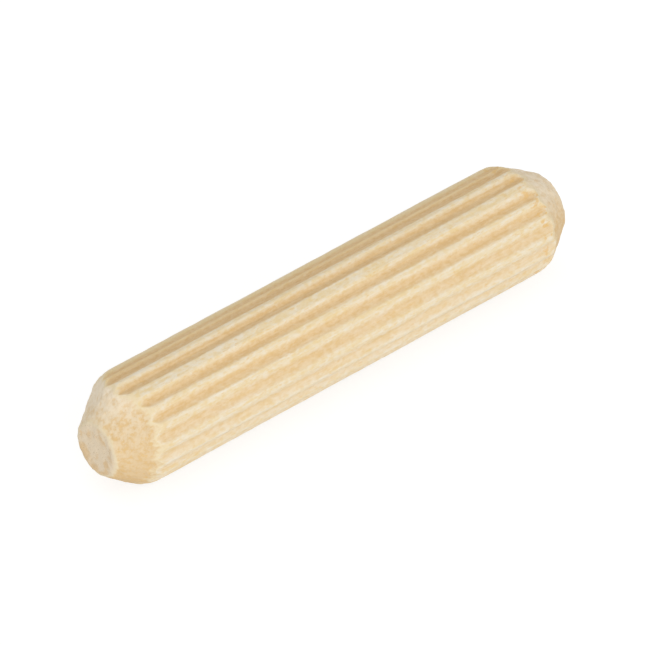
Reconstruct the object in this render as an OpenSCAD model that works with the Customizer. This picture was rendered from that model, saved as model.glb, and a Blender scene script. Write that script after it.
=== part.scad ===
// Fluted wooden dowel pin: a turned rod with lengthwise flutes pressed into it
// and both ends cut to a short taper, all in one piece of wood.
//
// The pin lies along X on two of its lands, with one flute facing straight down.
// The origin is on its axis, halfway between its ends, and +Z is up. Millimetres.

/* [Pin] */
// Diameter over the lands, which is also the drill size of its hole
pin_d = 8; // [6:0.5:16]
// Length over both end faces
pin_len = 40; // [20:1:100]

/* [Flutes] */
// Number of flutes around the pin
flute_count = 19; // [8:1:24]
// Width of a flute, straight across its mouth
flute_w = 0.62; // [0.2:0.02:0.76]
// Depth of a flute below the lands
flute_depth = 0.26; // [0.08:0.02:0.36]

/* [Ends] */
// Length of the taper at each end
taper_len = 2.8; // [1.2:0.1:5]
// Diameter at which the taper reaches the plane of the end face
face_d = 4.3; // [2:0.1:5]
// Radius that rounds the edge between the taper and the end face
edge_r = 0.5; // [0.1:0.05:0.8]

/* [Hidden] */

// Smoothness of the drawn circles
$fn = 180;

pin_r = pin_d / 2;
face_r = face_d / 2;

// A flute's wall is an arc through both edges of its mouth and its deepest point.
mouth_r = sqrt(pow(pin_r, 2) - pow(flute_w / 2, 2));
floor_r = pin_r - flute_depth;
rise = mouth_r - floor_r;
flute_r = (pow(rise, 2) + pow(flute_w / 2, 2)) / (2 * rise);

// Angle between the taper and the axis, and the rounded edge's tangent length
taper_angle = atan((pin_r - face_r) / taper_len);
edge_tangent = edge_r * tan((90 - taper_angle) / 2);
edge_steps = 8;

// The taper is cut by a cone that runs on past the shank by this much radius.
cutter_over = 1;
cutter_run = cutter_over / tan(taper_angle);

module fluted_section() {
    difference() {
        circle(r = pin_r);
        for (k = [0 : flute_count - 1])
            rotate(k * 360 / flute_count)
                translate([floor_r + flute_r, 0])
                    circle(r = flute_r);
    }
}

// Half section that the end cutters leave, from one end face to the other. Each
// rounded edge is an arc that touches the end face and the taper.
module turned_outline() {
    end = pin_len / 2;
    edge_centre = [face_r - edge_tangent, end - edge_r];
    upper = [
        [0, end],
        for (k = [0 : edge_steps])
            let (a = 90 + (taper_angle - 90) * k / edge_steps)
                edge_centre + edge_r * [cos(a), sin(a)],
        [pin_r + cutter_over, end - taper_len - cutter_run]
    ];
    lower = [for (k = [len(upper) - 1 : -1 : 0]) [upper[k].x, -upper[k].y]];
    polygon([each upper, each lower]);
}

module dowel_pin() {
    color("#E9CF9F")
        rotate([0, 90, 0])
            intersection() {
                linear_extrude(height = pin_len, center = true) fluted_section();
                rotate_extrude() turned_outline();
            }
}

dowel_pin();
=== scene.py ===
import math
import random

import bmesh
import bpy
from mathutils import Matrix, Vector


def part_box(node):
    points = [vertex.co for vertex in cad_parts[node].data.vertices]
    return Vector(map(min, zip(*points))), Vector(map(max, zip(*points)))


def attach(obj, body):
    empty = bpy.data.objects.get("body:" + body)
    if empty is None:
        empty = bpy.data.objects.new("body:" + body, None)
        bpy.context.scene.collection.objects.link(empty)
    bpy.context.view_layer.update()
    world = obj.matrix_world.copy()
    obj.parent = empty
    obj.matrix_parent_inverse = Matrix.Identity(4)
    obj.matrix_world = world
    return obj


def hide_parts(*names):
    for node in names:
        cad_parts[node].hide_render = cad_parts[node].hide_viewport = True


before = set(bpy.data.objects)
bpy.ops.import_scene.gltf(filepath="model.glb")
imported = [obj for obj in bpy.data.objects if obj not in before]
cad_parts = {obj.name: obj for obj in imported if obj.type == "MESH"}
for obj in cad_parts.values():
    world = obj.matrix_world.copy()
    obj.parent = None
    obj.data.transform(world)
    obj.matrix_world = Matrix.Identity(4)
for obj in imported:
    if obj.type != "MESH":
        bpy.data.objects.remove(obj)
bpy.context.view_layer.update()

# The pin
# A short rod of pale birch, drawn through a die that presses the flutes into it. It is
# sawn to length, and then a cutter turns a taper with a rounded edge on each end, so the
# flutes run out on the tapers. Glue holds it in a hole in each of two boards.

MM = 0.001

low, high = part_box("dowel_pin")
pin_end = high.x
pin_r = high.z

FLUTES = 19
FLUTE_DEPTH = 0.235 * MM
FLUTE_REACH = 0.52 * MM
ROUND_SHARE = 0.45
STRAIGHT_SHARE = 0.55
LIP_RISE = 0.01 * MM
LIP_REACH = 0.16 * MM
# Painted shade: how much further the flute colour reaches up the wall of each flute that faces
# back round the pin.
SHADE_LEAN_DEPTH = 0.1 * MM

TAPER_LEN = 2.8 * MM
FACE_R = 2.15 * MM
EDGE_ROUND = 0.5 * MM
ROUND_STEPS = 8
DISH_DEPTH = 0.09 * MM
DISH_REACH = 1.6 * MM

COLUMNS_PER_FLUTE = 16
COLUMNS = FLUTES * COLUMNS_PER_FLUTE
FACE_RINGS = 40
END_ZONE = TAPER_LEN + 0.8 * MM
END_ROWS = 60
SHANK_PARTS = (10, 12)
HAIR = 0.01 * MM


def select_where(piece, wanted, kind="VERT"):
    """Selects the vertices, edges or faces of a piece in edit mode that pass a test."""
    bpy.ops.mesh.select_mode(type=kind)
    bpy.ops.mesh.select_all(action="DESELECT")
    mesh = bmesh.from_edit_mesh(piece.data)
    for part in {"VERT": mesh.verts, "EDGE": mesh.edges, "FACE": mesh.faces}[kind]:
        if wanted(part):
            part.select_set(True)
    mesh.select_flush_mode()
    bmesh.update_edit_mesh(piece.data)


def add_rod(name, radius):
    """Adds a round rod of the pin's length, in edit mode, with one column facing down."""
    bpy.ops.object.select_all(action="DESELECT")
    bpy.ops.mesh.primitive_cylinder_add(
        vertices=COLUMNS, radius=radius, depth=2 * pin_end, rotation=(0, math.pi / 2, 0)
    )
    rod = bpy.context.object
    rod.name = name
    bpy.ops.object.transform_apply(location=False, rotation=True, scale=False)
    bpy.ops.object.mode_set(mode="EDIT")
    return rod


def shrink_round_axis(factor, **reach):
    """Brings what is selected closer to the pin's axis."""
    bpy.ops.transform.resize(value=(1, factor, factor), center_override=(0, 0, 0), **reach)


def press(rod, column, depth, reach, falloff):
    """Presses a rod in along one column, counted from the lowest, and beside it by less."""
    angle = math.radians(-90 + column * 360 / COLUMNS)
    outwards = Vector((0, math.cos(angle), math.sin(angle)))
    select_where(rod, lambda vert: vert.co.dot(outwards) > 0
                 and abs(vert.co.cross(outwards).x) < HAIR)
    shrink_round_axis(1 - depth / pin_r, use_proportional_edit=True,
                      proportional_edit_falloff=falloff, proportional_size=reach)


def divide_lengthwise(piece, x_from, x_to, pieces):
    """Divides the edges that run along the pin between two planes into equal pieces."""
    def runs_along(edge):
        a, b = (vert.co.x for vert in edge.verts)
        inside = min(a, b) > x_from - HAIR and max(a, b) < x_to + HAIR
        return inside and abs(a - b) > HAIR

    select_where(piece, runs_along, "EDGE")
    bpy.ops.mesh.subdivide(number_cuts=pieces - 1)


pin = add_rod("fluted_pin", pin_r)

# The wood gives unevenly, so no two flutes are quite alike or quite evenly spaced, and
# what is pressed out of a flute stands up a little as a lip on either side of it.
COLUMNS_ASIDE = (-3.5, 4.5)
DEPTH_SPREAD = (0.86, 1.12)
REACH_SPREAD = (0.9, 1.1)

random.seed(1003199)
for flute_number in range(FLUTES):
    column = flute_number * COLUMNS_PER_FLUTE + round(random.uniform(*COLUMNS_ASIDE))
    depth = FLUTE_DEPTH * random.uniform(*DEPTH_SPREAD)
    reach = FLUTE_REACH * random.uniform(*REACH_SPREAD)
    press(pin, column, depth * ROUND_SHARE, reach, "INVERSE_SQUARE")
    press(pin, column, depth * STRAIGHT_SHARE, reach, "LINEAR")
    to_lip = round(reach / pin_r / math.tau * COLUMNS)
    for beside in (-to_lip, to_lip):
        press(pin, column + beside, -LIP_RISE, LIP_REACH, "SMOOTH")

# Many short rows at both ends, where the cutter works, and longer ones between them.
shank_end = pin_end - END_ZONE
for x in (-shank_end, shank_end):
    bpy.ops.mesh.select_all(action="SELECT")
    bpy.ops.mesh.bisect(plane_co=(x, 0, 0), plane_no=(1, 0, 0))
for parts in SHANK_PARTS:
    divide_lengthwise(pin, -shank_end, shank_end, parts)
divide_lengthwise(pin, -pin_end, -shank_end, END_ROWS)
divide_lengthwise(pin, shank_end, pin_end, END_ROWS)

# Rings on both sawn faces, from the flutes in to the middle.
for side in (-1, 1):
    select_where(pin, lambda face: face.normal.x * side > 0.9, "FACE")
    for ring in range(1, FACE_RINGS):
        bpy.ops.mesh.extrude_region()
        shrink_round_axis((FACE_RINGS - ring) / (FACE_RINGS - ring + 1))
    bpy.ops.mesh.poke()
bpy.ops.object.mode_set(mode="OBJECT")

# A gauge of the turned outline, which the pin is then cut back to. The cutter ran out of
# true, more at the -X end than at the +X end, and there it hardly bit at the top.
SHOULDER_TILTS = {-1: -0.062, 1: 0.03}
SHOULDER_ROUNDS = {-1: 0.48 * MM, 1: 0.3 * MM}
FACE_SIZES = {-1: 0.9, 1: 1.03}
FACE_SHIFTS = {-1: (0, -0.06 * MM, -0.38 * MM), 1: (0, 0.03 * MM, 0.03 * MM)}
UNCUT_SIDE = Vector((0, 0.05, 1))
UNCUT_WIDTH = 0.6 * MM
UNCUT_REACH = 3.2 * MM
UNCUT_LENGTH = 1.3 * MM

gauge_r = pin_r + LIP_RISE
gauge = add_rod("gauge", gauge_r)
for side in (-1, 1):
    bpy.ops.mesh.select_all(action="SELECT")
    bpy.ops.mesh.bisect(plane_co=(side * (pin_end - TAPER_LEN), 0, 0),
                        plane_no=(1, SHOULDER_TILTS[side], SHOULDER_TILTS[side]))
    select_where(gauge, lambda vert: vert.co.x * side > pin_end - HAIR)
    shrink_round_axis(FACE_R * FACE_SIZES[side] / gauge_r)
    bpy.ops.transform.translate(value=FACE_SHIFTS[side])
select_where(gauge, lambda vert: HAIR - pin_end < vert.co.x < 0
             and vert.co.dot(UNCUT_SIDE) > 0
             and abs(vert.co.cross(UNCUT_SIDE).x) < UNCUT_WIDTH / 2)
bpy.ops.transform.translate(value=(-UNCUT_LENGTH, 0, 0), use_proportional_edit=True,
                            proportional_edit_falloff="SMOOTH",
                            proportional_size=UNCUT_REACH)
taper_angle = math.atan((pin_r - FACE_R) / TAPER_LEN)
edge_tangent = EDGE_ROUND * math.tan((math.pi / 2 - taper_angle) / 2)
for side in (-1, 1):
    select_where(gauge, lambda edge: all(0 < vert.co.x * side < pin_end - HAIR
                                         for vert in edge.verts), "EDGE")
    bpy.ops.mesh.bevel(offset=SHOULDER_ROUNDS[side], offset_type="OFFSET",
                       segments=ROUND_STEPS)
    select_where(gauge, lambda edge: all(vert.co.x * side > pin_end - HAIR
                                         for vert in edge.verts), "EDGE")
    bpy.ops.mesh.bevel(offset=edge_tangent, offset_type="OFFSET", segments=ROUND_STEPS)
bpy.ops.object.mode_set(mode="OBJECT")


def turned_off(co, further=0):
    """How much the cutter takes off a land beside a point, or further along the pin."""
    middle = Vector((co.x + math.copysign(further, co.x), 0, 0))
    hit, surface, *_ = gauge.ray_cast(middle, Vector((0, co.y, co.z)))
    return max(pin_r - (surface - middle).length, 0) if hit else pin_r


def facing_back(vert):
    """How far a vertex faces back round the pin, as one wall of each flute does."""
    return vert.normal.dot(Vector((0, vert.co.z, -vert.co.y)).normalized())


# For each vertex: how deep the die pressed, and how much of that depth is left beside what the
# cutter takes off. The wall of each flute that faces back round the pin counts as a little
# deeper, and the other wall as a little shallower, so the flute colour paints shade up the one
# wall. Last, what the cutter takes off a little further out, from where fibres are torn back
# over the lands.
TEAR_LEN = 0.7 * MM

uncut = [vert.co.copy() for vert in pin.data.vertices]
pressed = [0 if abs(co.x) > pin_end - HAIR else pin_r - math.hypot(co.y, co.z) for co in uncut]
painted_shade_leans = [SHADE_LEAN_DEPTH * facing_back(vert) for vert in pin.data.vertices]
left = [max(depth - turned_off(co) + painted_shade_lean, 0) if depth > 0 else 0
        for depth, painted_shade_lean, co in zip(pressed, painted_shade_leans, uncut)]
torn_off = [turned_off(co, TEAR_LEN) for co in uncut]

# The cut, and then the mesh evened out where the cutter takes most, so that it has no folds.
DEEP_CUT = 0.35 * MM
EVENING_ROUNDS = 4

bpy.ops.object.select_all(action="DESELECT")
pin.select_set(True)
bpy.context.view_layer.objects.active = pin
cutter = pin.modifiers.new("cutter", "SHRINKWRAP")
cutter.target = gauge
cutter.wrap_method = "NEAREST_SURFACEPOINT"
cutter.wrap_mode = "INSIDE"
bpy.ops.object.modifier_apply(modifier="cutter")
bpy.data.objects.remove(gauge)
bpy.ops.object.mode_set(mode="EDIT")
select_where(pin, lambda vert: (vert.co - uncut[vert.index]).length > DEEP_CUT)
bpy.ops.mesh.vertices_smooth(factor=0.5, repeat=EVENING_ROUNDS)
bpy.ops.object.mode_set(mode="OBJECT")
bpy.ops.object.shade_smooth()


def rise(value, start, end):
    """0 up to start, 1 from end, and straight from one to the other."""
    return min(max((value - start) / (end - start), 0), 1)


def note(piece, name, lengths):
    """Keeps a length for each vertex, in millimetres, for the material to read."""
    kept = piece.data.attributes.new(name, "FLOAT", "POINT")
    kept.data.foreach_set("value", [length / MM for length in lengths])


def weigh(piece, name, weights):
    """Gives a piece a vertex group with a weight for each vertex."""
    group = piece.vertex_groups.new(name=name)
    for vert, weight in zip(piece.data.vertices, weights):
        if weight > 0:
            group.add([vert.index], weight, "REPLACE")


def roughen(piece, group, depth, along, across, middle=0.5, shift=0.0, detail=1):
    """Raises and lowers a piece's surface by a soft noise, within one vertex group."""
    noise = bpy.data.textures.new("relief", "CLOUDS")
    noise.noise_scale = 1.0
    noise.noise_depth = detail
    grid = bpy.data.objects.new("grid", None)
    bpy.context.scene.collection.objects.link(grid)
    grid.scale = (along, across, across)
    grid.location = (shift, shift, shift)
    bpy.context.view_layer.update()
    relief = piece.modifiers.new("relief", "DISPLACE")
    relief.texture = noise
    relief.texture_coords = "OBJECT"
    relief.texture_coords_object = grid
    relief.vertex_group = group
    relief.strength = depth
    relief.mid_level = middle
    bpy.ops.object.modifier_apply(modifier="relief")
    bpy.data.objects.remove(grid)
    bpy.data.textures.remove(noise)


# How far the cutter moved each vertex, and how far back from the face it is. The surface
# counts as cut from where a full bite is taken, and all over the face and near it.
FULL_BITE = 0.08 * MM
FULL_TEAR = 0.3 * MM
NEAR_FACE = 0.6 * MM
PAST_FACE = 1.0 * MM

taken = [(vert.co - co).length for vert, co in zip(pin.data.vertices, uncut)]
back = [pin_end - abs(vert.co.x) for vert in pin.data.vertices]
note(pin, "pressed", pressed)
note(pin, "left", left)
note(pin, "taken", taken)
note(pin, "back", back)

cut_shares = [max(rise(off, 0, FULL_BITE), 1 - rise(away, NEAR_FACE, PAST_FACE))
              for off, away in zip(taken, back)]
torn_shares = [rise(off, 0, FULL_TEAR) for off in torn_off]
weigh(pin, "cut", cut_shares)
weigh(pin, "shank", [1 - share for share in cut_shares])
weigh(pin, "torn", [torn * (1 - share) for torn, share in zip(torn_shares, cut_shares)])

# The lands waver a little, and fibres stand up and lie down along them.
roughen(pin, "shank", depth=0.06 * MM, along=5 * MM, across=0.5 * MM, shift=0.013)
roughen(pin, "shank", depth=0.03 * MM, along=1.2 * MM, across=0.17 * MM, shift=0.031)
# The tapers are cut across the fibres, which tear, on the lands beside them as well.
roughen(pin, "cut", depth=0.11 * MM, along=0.6 * MM, across=0.6 * MM, middle=0.6, shift=0.005)
roughen(pin, "cut", depth=0.04 * MM, along=0.25 * MM, across=0.2 * MM, shift=0.017, detail=2)
roughen(pin, "torn", depth=0.07 * MM, along=0.5 * MM, across=0.2 * MM, middle=0.6,
        shift=0.023, detail=2)

# The saw leaves each face a little hollow, deepest at the one vertex in its middle.
bpy.ops.object.mode_set(mode="EDIT")
for side in (-1, 1):
    select_where(pin, lambda vert: vert.co.x * side > pin_end - EDGE_ROUND
                 and math.hypot(vert.co.y, vert.co.z) < 3 * HAIR)
    bpy.ops.transform.translate(value=(-side * DISH_DEPTH, 0, 0), use_proportional_edit=True,
                                proportional_edit_falloff="SPHERE", proportional_size=DISH_REACH)
bpy.ops.object.mode_set(mode="OBJECT")

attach(pin, "root")
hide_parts("dowel_pin")


class Value:
    """A number that varies over a surface. Sums and products on it add Math nodes."""

    def __init__(self, finish, socket):
        self.finish = finish
        self.socket = socket

    def math(self, operation, *values):
        return self.finish.node("Math", dict(enumerate(values)), operation=operation)

    def __add__(self, other):
        return self.math("ADD", self, other)

    def __sub__(self, other):
        return self.math("SUBTRACT", self, other)

    def __mul__(self, other):
        return self.math("MULTIPLY", self, other)

    def __truediv__(self, other):
        return self.math("DIVIDE", self, other)

    def __rsub__(self, other):
        return self.math("SUBTRACT", other, self)

    __radd__ = __add__


class Finish:
    """The nodes of one material or world, and the ways in which patterns are made."""

    def __init__(self, owner):
        owner.use_nodes = True
        self.tree = owner.node_tree
        self.tree.nodes.clear()

    def node(self, kind, inputs=None, output=0, **settings):
        """Adds a node: its settings first, then the values or links of its sockets."""
        made = self.tree.nodes.new("ShaderNode" + kind)
        for name, value in settings.items():
            setattr(made, name, value)
        for key, value in (inputs or {}).items():
            if isinstance(value, Value):
                self.tree.links.new(value.socket, made.inputs[key])
            else:
                made.inputs[key].default_value = value
        if isinstance(output, tuple):
            return [Value(self, made.outputs[name]) for name in output]
        return Value(self, made.outputs[output]) if made.outputs else None

    def between(self, value, start, end):
        """0 up to start, 1 from end, and a smooth rise from one to the other."""
        return self.node("MapRange", {"Value": value, "From Min": start, "From Max": end},
                         interpolation_type="SMOOTHSTEP")

    def blend(self, share, first, second):
        """One colour turning into another as share goes from 0 to 1."""
        return self.node("Mix", {0: share, 6: first, 7: second}, output=2, data_type="RGBA")

    def noise(self, place, along, across, detail=2.0, roughness=0.5, shift=0.0):
        """Noise with features of these lengths along the pin and across it."""
        size = (1 / along, 1 / across, 1 / across)
        where = self.node("VectorMath", {0: place, 1: size, 2: (shift, shift, shift)},
                          operation="MULTIPLY_ADD")
        return self.node("TexNoise", {"Vector": where, "Scale": 1.0, "Detail": detail,
                                      "Roughness": roughness})


LAND_GOLD = (0.835, 0.64, 0.33, 1)
LAND_PALE = (0.88, 0.80, 0.65, 1)
LIP_HIGHLIGHT = (0.88, 0.80, 0.63, 1)
FLUTE_WOOD = (0.825, 0.60, 0.33, 1)
FLUTE_DARK = (0.74, 0.49, 0.22, 1)
FLECK = (0.79, 0.52, 0.20, 1)
TORN = (0.80, 0.50, 0.17, 1)
CUT_GOLD = (0.74, 0.51, 0.245, 1)
CUT_PALE = (0.85, 0.72, 0.52, 1)
CUT_PAINTED_PALE = (0.92, 0.79, 0.60, 1)
SHOULDER_WOOD = (0.84, 0.70, 0.455, 1)
RIM_HIGHLIGHT = (0.82, 0.70, 0.51, 1)
FACE_WOOD = (0.82, 0.68, 0.49, 1)
PORE = (0.45, 0.30, 0.15, 1)

birch_material = bpy.data.materials.new("birch")
birch = Finish(birch_material)
place = birch.node("TexCoord", output="Object")
along_pin, across_y, across_z = birch.node("SeparateXYZ", {0: place}, output=(0, 1, 2))
upper_side = (across_y + across_z) / pin_r
pressed_mm = birch.node("Attribute", output="Fac", attribute_name="pressed")
left_mm = birch.node("Attribute", output="Fac", attribute_name="left")
taken_mm = birch.node("Attribute", output="Fac", attribute_name="taken")
back_mm = birch.node("Attribute", output="Fac", attribute_name="back")

# Where each kind of surface is, from 0 to 1, with edges that wander a little.
wander = birch.noise(place, 0.5 * MM, 0.25 * MM, detail=3)
cut = birch.between(taken_mm + (wander - 0.5) * 0.12, 0.0, FULL_BITE / MM)
near_face = 1 - birch.between(back_mm, NEAR_FACE / MM, PAST_FACE / MM)
cut = cut.math("MAXIMUM", cut, near_face)
cut_deep = birch.between(taken_mm + (wander - 0.5) * 1.1, 0.0, 0.45)
on_shank = 1 - cut
flute = birch.between(left_mm + (wander - 0.5) * 0.08, -0.01, 0.2) * on_shank
lip = (1 - birch.between(pressed_mm, -0.009, -0.002)) * on_shank
face = 1 - birch.between(back_mm + (wander - 0.5) * 0.04, 0.01, 0.06)
rim = (1 - birch.between(back_mm + (wander - 0.5) * 0.12, 0.06, 0.18)) * (1 - face)

# The lands and the flutes, with painted shade high on the front: there the lands are darker and
# more golden and the flute colour is strongest. Low on the pin the lands are a little paler.
streaks = birch.noise(place, 7 * MM, 0.16 * MM, detail=3, roughness=0.6, shift=5)
fibres = birch.noise(place, 1.6 * MM, 0.06 * MM, detail=3, roughness=0.6, shift=11)
mottle = birch.noise(place, 1.4 * MM, 0.5 * MM, detail=2, shift=13)
grains = birch.noise(place, 0.45 * MM, 0.26 * MM, detail=3, roughness=0.6, shift=19)
specks = birch.noise(place, 0.5 * MM, 0.14 * MM, detail=2, shift=17)
lower_side = 1 - birch.between(upper_side, -1.3, -0.6)
front_side = 1 - birch.between(across_y / pin_r, 0.45, 0.8)
tone = grains * 0.5 + streaks * 0.25 + mottle * 0.25 + lower_side * 0.045
wood = birch.blend(birch.between(tone, 0.34, 0.68), LAND_GOLD, LAND_PALE)
# Painted shade: the lands are darker and more golden high on the front.
wood = birch.blend(birch.between(upper_side, 1.0, 1.25) * front_side * 0.75, wood, LAND_GOLD)
# A painted highlight: a pale line along the lip on either side of each flute.
wood = birch.blend(lip * 0.2, wood, LIP_HIGHLIGHT)
floor_wood = birch.blend(birch.between(streaks * 0.4 + grains * 0.6, 0.36, 0.64),
                         FLUTE_DARK, FLUTE_WOOD)
# Painted shade: the flute colour is laid on more strongly high on the front.
wood = birch.blend(flute * (upper_side * front_side * 0.5 + 0.95), wood, floor_wood)
wood = birch.blend(birch.between(specks, 0.60, 0.72) * 0.5, wood, FLECK)
wood = birch.blend(birch.between(fibres, 0.58, 0.72) * 0.35, wood, FLECK)

# Fibres that the cutter tore as it left the lands, at the +X end.
shoulder_x = pin_end - TAPER_LEN
lifted = birch.noise(place, 0.6 * MM, 0.4 * MM, detail=2, shift=53)
near_shoulder = birch.between(along_pin, shoulder_x - 1.3 * MM, shoulder_x - 0.5 * MM)
wood = birch.blend(near_shoulder * birch.between(lifted, 0.54, 0.64) * 0.65, wood, TORN)

# The tapers, cut across the grain: blotched, paler on the upper side and at the +X end, with
# even wood where the cutter took little and a pale rim round each face. Over this a paler colour
# is painted on the upper side as painted light, where the lamp leaves the tapers in shade, and
# is laid on the +X end too.
speckle = birch.noise(place, 0.36 * MM, 0.27 * MM, detail=4, roughness=0.65, shift=31)
clumps = birch.noise(place, 0.9 * MM, 0.6 * MM, detail=3, roughness=0.6, shift=37)
paler = birch.between(clumps * 0.45 + speckle * 0.55, 0.40, 0.58) * (upper_side * 0.35 + 0.65)
cut_wood = birch.blend(paler, CUT_GOLD, CUT_PALE)
cut_wood = birch.blend((1 - birch.between(speckle, 0.33, 0.45)) * 0.25, cut_wood, FLECK)
pits = birch.noise(place, 0.4 * MM, 0.35 * MM, detail=1, shift=59)
cut_wood = birch.blend(birch.between(pits, 0.66, 0.74) * 0.5, cut_wood, FLECK)
# Painted light: a paler colour on the upper side of the tapers, where the lamp leaves them in
# shade, also laid on the +X end.
painted_pale_side = upper_side + birch.between(along_pin, -MM, MM) * 0.7
patches = birch.noise(place, 0.6 * MM, 0.45 * MM, detail=3, roughness=0.6, shift=61)
painted_pale = birch.between(painted_pale_side, 0.0, 1.1) * (birch.between(patches, 0.42, 0.58) * 0.45 + 0.38)
painted_pale = painted_pale + birch.between(upper_side, 0.7, 1.2) * 0.3
cut_wood = birch.blend(painted_pale, cut_wood, CUT_PAINTED_PALE)
cut_wood = birch.blend(cut_deep, SHOULDER_WOOD, cut_wood)
# A painted highlight: a pale rim round each face, on its rounded edge.
cut_wood = birch.blend(rim * 0.6, cut_wood, RIM_HIGHLIGHT)
wood = birch.blend(cut, wood, cut_wood)

# The sawn faces, with open pores, and stains outside the middle and along the lower edge.
sawn = birch.noise(place, 1.0 * MM, 0.09 * MM, detail=3, roughness=0.6, shift=41)
stain = birch.noise(place, 1.0 * MM, 0.8 * MM, detail=3, roughness=0.6, shift=43)
off_middle = birch.between(across_y * across_y + across_z * across_z, 0, MM * MM)
low_edge = birch.between(across_y * 0.57 - across_z * 0.82, 0.9 * MM, 1.7 * MM)
stain = birch.between(stain + low_edge * 0.12, 0.46, 0.64)
face_wood = birch.blend(stain * off_middle * 0.6, FACE_WOOD, FLUTE_DARK)
face_wood = birch.blend(birch.between(sawn, 0.60, 0.70), face_wood, PORE)
wood = birch.blend(face, wood, face_wood)

shank_relief = fibres * 0.7 + streaks * 0.3 + grains * 0.3
cut_relief = speckle + sawn * 0.4
bump = birch.node("Bump", {"Height": shank_relief * on_shank + cut_relief * cut,
                           "Strength": 1.0, "Distance": 0.03 * MM})
rough = 0.52 + fibres * 0.15 + cut * 0.12
surface = birch.node("BsdfPrincipled", {"Base Color": wood, "Roughness": rough, "Normal": bump})
birch.node("OutputMaterial", {"Surface": surface})
pin.data.materials.append(birch_material)

# The floor
# A wide sheet of white paper under the pin. The camera sees it as white, with the pin's
# faint shadow, and the pin gets only the light of a pale grey sheet back from it.

SHEET_SIZE = 1.6
SHEET_GREY = (0.85, 0.85, 0.85, 1)
SHADOW_GREY = (0.38, 0.38, 0.38, 1)
SHEET_GLOW = 0.75
SEEN_RAYS = ("Is Camera Ray", "Is Glossy Ray", "Is Transmission Ray")

bpy.ops.object.select_all(action="DESELECT")
bpy.ops.mesh.primitive_plane_add(size=SHEET_SIZE, location=(0, 0, low.z))
floor = bpy.context.object
floor.name = "floor"
bpy.ops.object.transform_apply(location=True, rotation=False, scale=False)
paper_material = bpy.data.materials.new("paper")
paper = Finish(paper_material)
camera_ray, glossy_ray, transmission_ray = paper.node("LightPath", output=SEEN_RAYS)
sheet = paper.node("BsdfDiffuse", {"Color": SHEET_GREY})
shaded = paper.node("BsdfDiffuse", {"Color": SHADOW_GREY})
white = paper.node("Emission", {"Strength": SHEET_GLOW})
seen_sheet = paper.node("AddShader", {0: shaded, 1: white})
shown = paper.node("MixShader", {0: camera_ray + glossy_ray + transmission_ray,
                                 1: sheet, 2: seen_sheet})
paper.node("OutputMaterial", {"Surface": shown})
floor.data.materials.append(paper_material)

# The lamp and the room
# One large soft lamp stands low in front, so the flutes on the upper side fall into
# their own shade, and white walls all round fill in the rest.

LAMP_PLACE = Vector((-0.26, -0.56, 0.19))
LAMP_SIZE = 0.2
LAMP_WATTS = 1.42
ROOM_STRENGTH = 0.72
WHITE = (1, 1, 1, 1)

lamp_data = bpy.data.lights.new("lamp", "AREA")
lamp_data.energy = LAMP_WATTS
lamp_data.size = LAMP_SIZE
lamp = bpy.data.objects.new("lamp", lamp_data)
bpy.context.scene.collection.objects.link(lamp)
lamp.location = LAMP_PLACE
lamp.rotation_euler = LAMP_PLACE.to_track_quat("Z", "Y").to_euler()

world = bpy.data.worlds.new("room")
room = Finish(world)
camera_ray, glossy_ray, transmission_ray = room.node("LightPath", output=SEEN_RAYS)
walls = room.node("Background", {"Color": WHITE, "Strength": ROOM_STRENGTH})
seen_walls = room.node("Background", {"Color": WHITE, "Strength": 1.0})
shown = room.node("MixShader", {0: camera_ray + glossy_ray + transmission_ray,
                                1: walls, 2: seen_walls})
room.node("OutputWorld", {"Surface": shown})
bpy.context.scene.world = world

# The camera
# It looks down on the pin from the front left, from well away, so the far end is hardly
# smaller than the near one.

AZIMUTH = math.radians(-41.2)
ELEVATION = math.radians(38.2)
CAMERA_DISTANCE = 0.84
CAMERA_LENS = 700
CAMERA_REACH = 5

back_to_camera = Vector((math.sin(AZIMUTH) * math.cos(ELEVATION),
                         -math.cos(AZIMUTH) * math.cos(ELEVATION), math.sin(ELEVATION)))
camera_data = bpy.data.cameras.new("camera")
camera_data.lens = CAMERA_LENS
camera_data.clip_end = CAMERA_REACH
camera = bpy.data.objects.new("camera", camera_data)
bpy.context.scene.collection.objects.link(camera)
camera.location = back_to_camera * CAMERA_DISTANCE
camera.rotation_euler = back_to_camera.to_track_quat("Z", "Y").to_euler()
bpy.context.scene.camera = camera
bpy.context.scene.view_settings.view_transform = "Standard"
